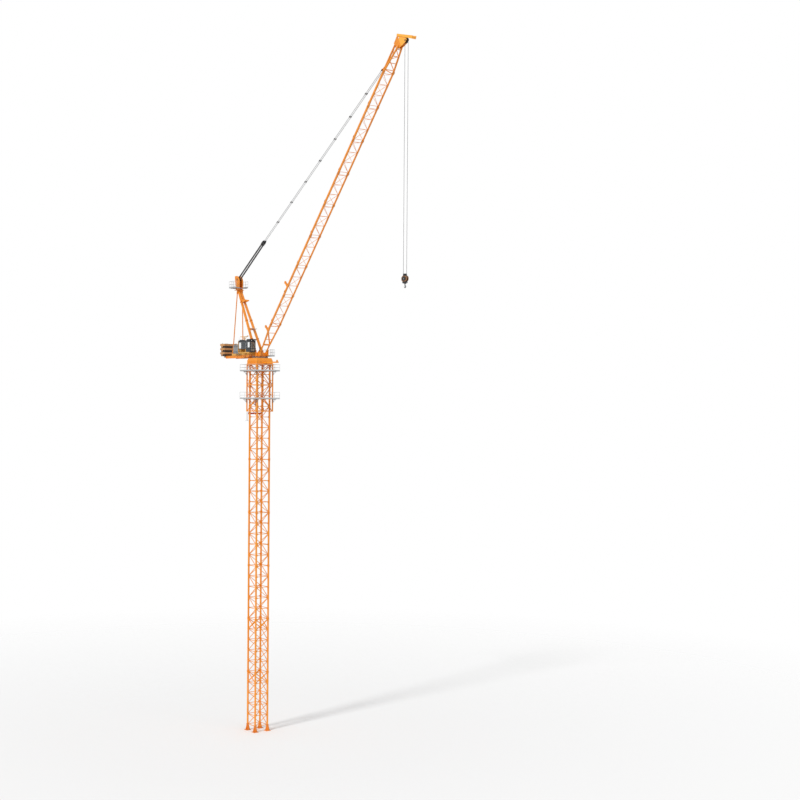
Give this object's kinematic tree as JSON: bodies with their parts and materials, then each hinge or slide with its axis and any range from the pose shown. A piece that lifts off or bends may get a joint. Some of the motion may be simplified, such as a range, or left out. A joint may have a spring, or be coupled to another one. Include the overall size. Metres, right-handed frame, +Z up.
{
  "type": "luffing tower crane scale model",
  "caption": "Scale model of a luffing-jib tower crane: braced lattice tower with climbing cage, slewing upperworks with cab, ballast and A-frame, lattice jib and hook block.",
  "frame": {"origin": "on the tower's axis, in the plane of the four feet's undersides", "axes": "+Z up along the tower, +X forward under the jib, +Y to the crane's left"},
  "size_m": [5.1149, 0.47, 10.5315],
  "materials": {
    "ballast_tan": "painted slabs",
    "bearing_steel": "greased steel",
    "block_black": "satin paint",
    "cab_dark": "satin paint",
    "cab_glass": "clear glazing",
    "cabinet_grey": "satin paint",
    "carrier_tan": "satin paint",
    "crane_orange": "satin paint",
    "deck_grey": "galvanised grating",
    "drum_grey": "wound rope",
    "foot_orange": "satin paint",
    "hook_block_tan": "satin paint",
    "hook_steel": "forged",
    "hydraulic_red": "gloss paint",
    "pendant_grey": "galvanised bar",
    "railing_grey": "galvanised tube",
    "rope_steel": "greased wire rope",
    "tower_orange": "satin paint"
  },
  "bodies": {
    "tower": {"foundation_feet": "foot_orange", "tower_leg_front_left": "tower_orange", "tower_leg_front_right": "tower_orange", "tower_leg_rear_left": "tower_orange", "tower_leg_rear_right": "tower_orange", "tower_bracing_front": "tower_orange", "tower_bracing_rear": "tower_orange", "tower_bracing_left": "tower_orange", "tower_bracing_right": "tower_orange", "cage_front": "tower_orange", "cage_rear": "tower_orange", "cage_left": "tower_orange", "cage_right": "tower_orange", "lower_deck": "deck_grey", "upper_deck": "deck_grey", "deck_railings": "railing_grey", "climbing_gear": "hydraulic_red", "hanging_ladder": "deck_grey", "ring_support": "tower_orange", "feed_beam": "tower_orange", "slewing_ring": "bearing_steel"},
    "upperworks": {"a_frame_head": "crane_orange", "a_frame_leg_left": "crane_orange", "a_frame_leg_right": "crane_orange", "a_frame_ties": "crane_orange", "ballast_slab_1": "ballast_tan", "ballast_slab_2": "ballast_tan", "ballast_slab_3": "ballast_tan", "cab_carrier": "carrier_tan", "cab_glass": "cab_glass", "cab_roof": "cab_dark", "cab_shell": "cab_dark", "control_cabinet": "cabinet_grey", "counter_jib_frame": "crane_orange", "head_platform": "railing_grey", "leg_brackets": "crane_orange", "luffing_ropes": "rope_steel", "machine_bed": "crane_orange", "mid_platform": "crane_orange", "service_davit": "carrier_tan", "side_platform": "railing_grey", "slewing_platform": "crane_orange", "winch_drums": "drum_grey", "winch_frame": "crane_orange"},
    "jib": {"jib_chord_left": "crane_orange", "jib_chord_right": "crane_orange", "jib_chord_top": "crane_orange", "jib_foot": "crane_orange", "jib_head": "crane_orange", "jib_lacing_bottom": "crane_orange", "jib_lacing_sides": "crane_orange", "head_sheave": "block_black", "pendant_mount": "crane_orange", "rope_guides": "crane_orange", "pendants": "pendant_grey", "luffing_block": "block_black"},
    "falls": {"hoist_falls": "rope_steel"},
    "block": {"hook_block": "hook_block_tan", "block_sheave": "block_black"},
    "hook_body": {"hook": "hook_steel"}
  },
  "joints": [
    {"name": "slew", "type": "hinge", "parent": "tower", "child": "upperworks", "pos_m": [0, 0, 6.032], "axis": [0, 0, 1], "continuous": true},
    {"name": "luff", "type": "hinge", "parent": "upperworks", "child": "jib", "pos_m": [0.12, 0, 6.138], "axis": [0, -1, 0], "range_deg": [-34.4, 35.6], "deforming": ["luffing_ropes"]},
    {"name": "fall_plumb", "type": "hinge", "parent": "jib", "child": "falls", "pos_m": [3.88007, 0, 10.40663], "axis": [0, -1, 0], "range_deg": [-35.6, 34.4]},
    {"name": "hoist", "type": "slide", "parent": "falls", "child": "block", "axis": [0, 0, 1], "range_m": [-4, 2.8], "deforming": ["hoist_falls"]},
    {"name": "hook_swivel", "type": "hinge", "parent": "block", "child": "hook_body", "pos_m": [3.88007, 0, 6.97], "axis": [0, 0, 1], "continuous": true}
  ],
  "couplings": [
    {"joint": "fall_plumb", "follows": "luff", "ratio": -1}
  ]
}
